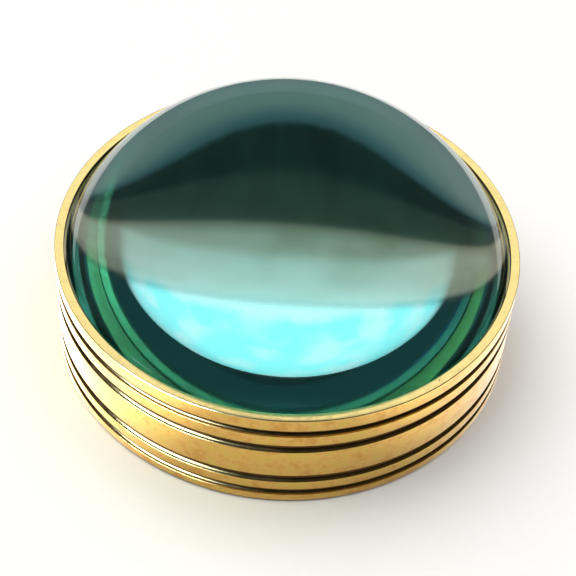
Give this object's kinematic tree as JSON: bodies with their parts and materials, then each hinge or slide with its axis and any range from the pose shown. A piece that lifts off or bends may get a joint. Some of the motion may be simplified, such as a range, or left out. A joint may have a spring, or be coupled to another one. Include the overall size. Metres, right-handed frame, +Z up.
{
  "type": "domed desk magnifier",
  "caption": "Thick plano-convex glass dome set in a turned brass ring with grooves, standing on a felt washer and held flat above the page to magnify it.",
  "frame": {"origin": "centre of the underside of the felt, on the axis of the ring", "axes": "+Z up along the axis of the ring and lens; +Y away from the viewer; X and Y are interchangeable because the part is round"},
  "size_m": [0.0888, 0.0888, 0.0492],
  "materials": {
    "turned_brass": "turned and polished, lightly tarnished",
    "bored_brass": "fine bored, satin",
    "tinted_glass": "polished optical surface, blue-green tint",
    "black_rubber": "matt moulded sheet",
    "green_felt": "pressed wool felt"
  },
  "bodies": {
    "root": {"outer_ring": "turned_brass", "seat_ring": "bored_brass", "dome_lens": "tinted_glass", "seat_gasket": "black_rubber", "base_felt": "green_felt"}
  },
  "joints": []
}
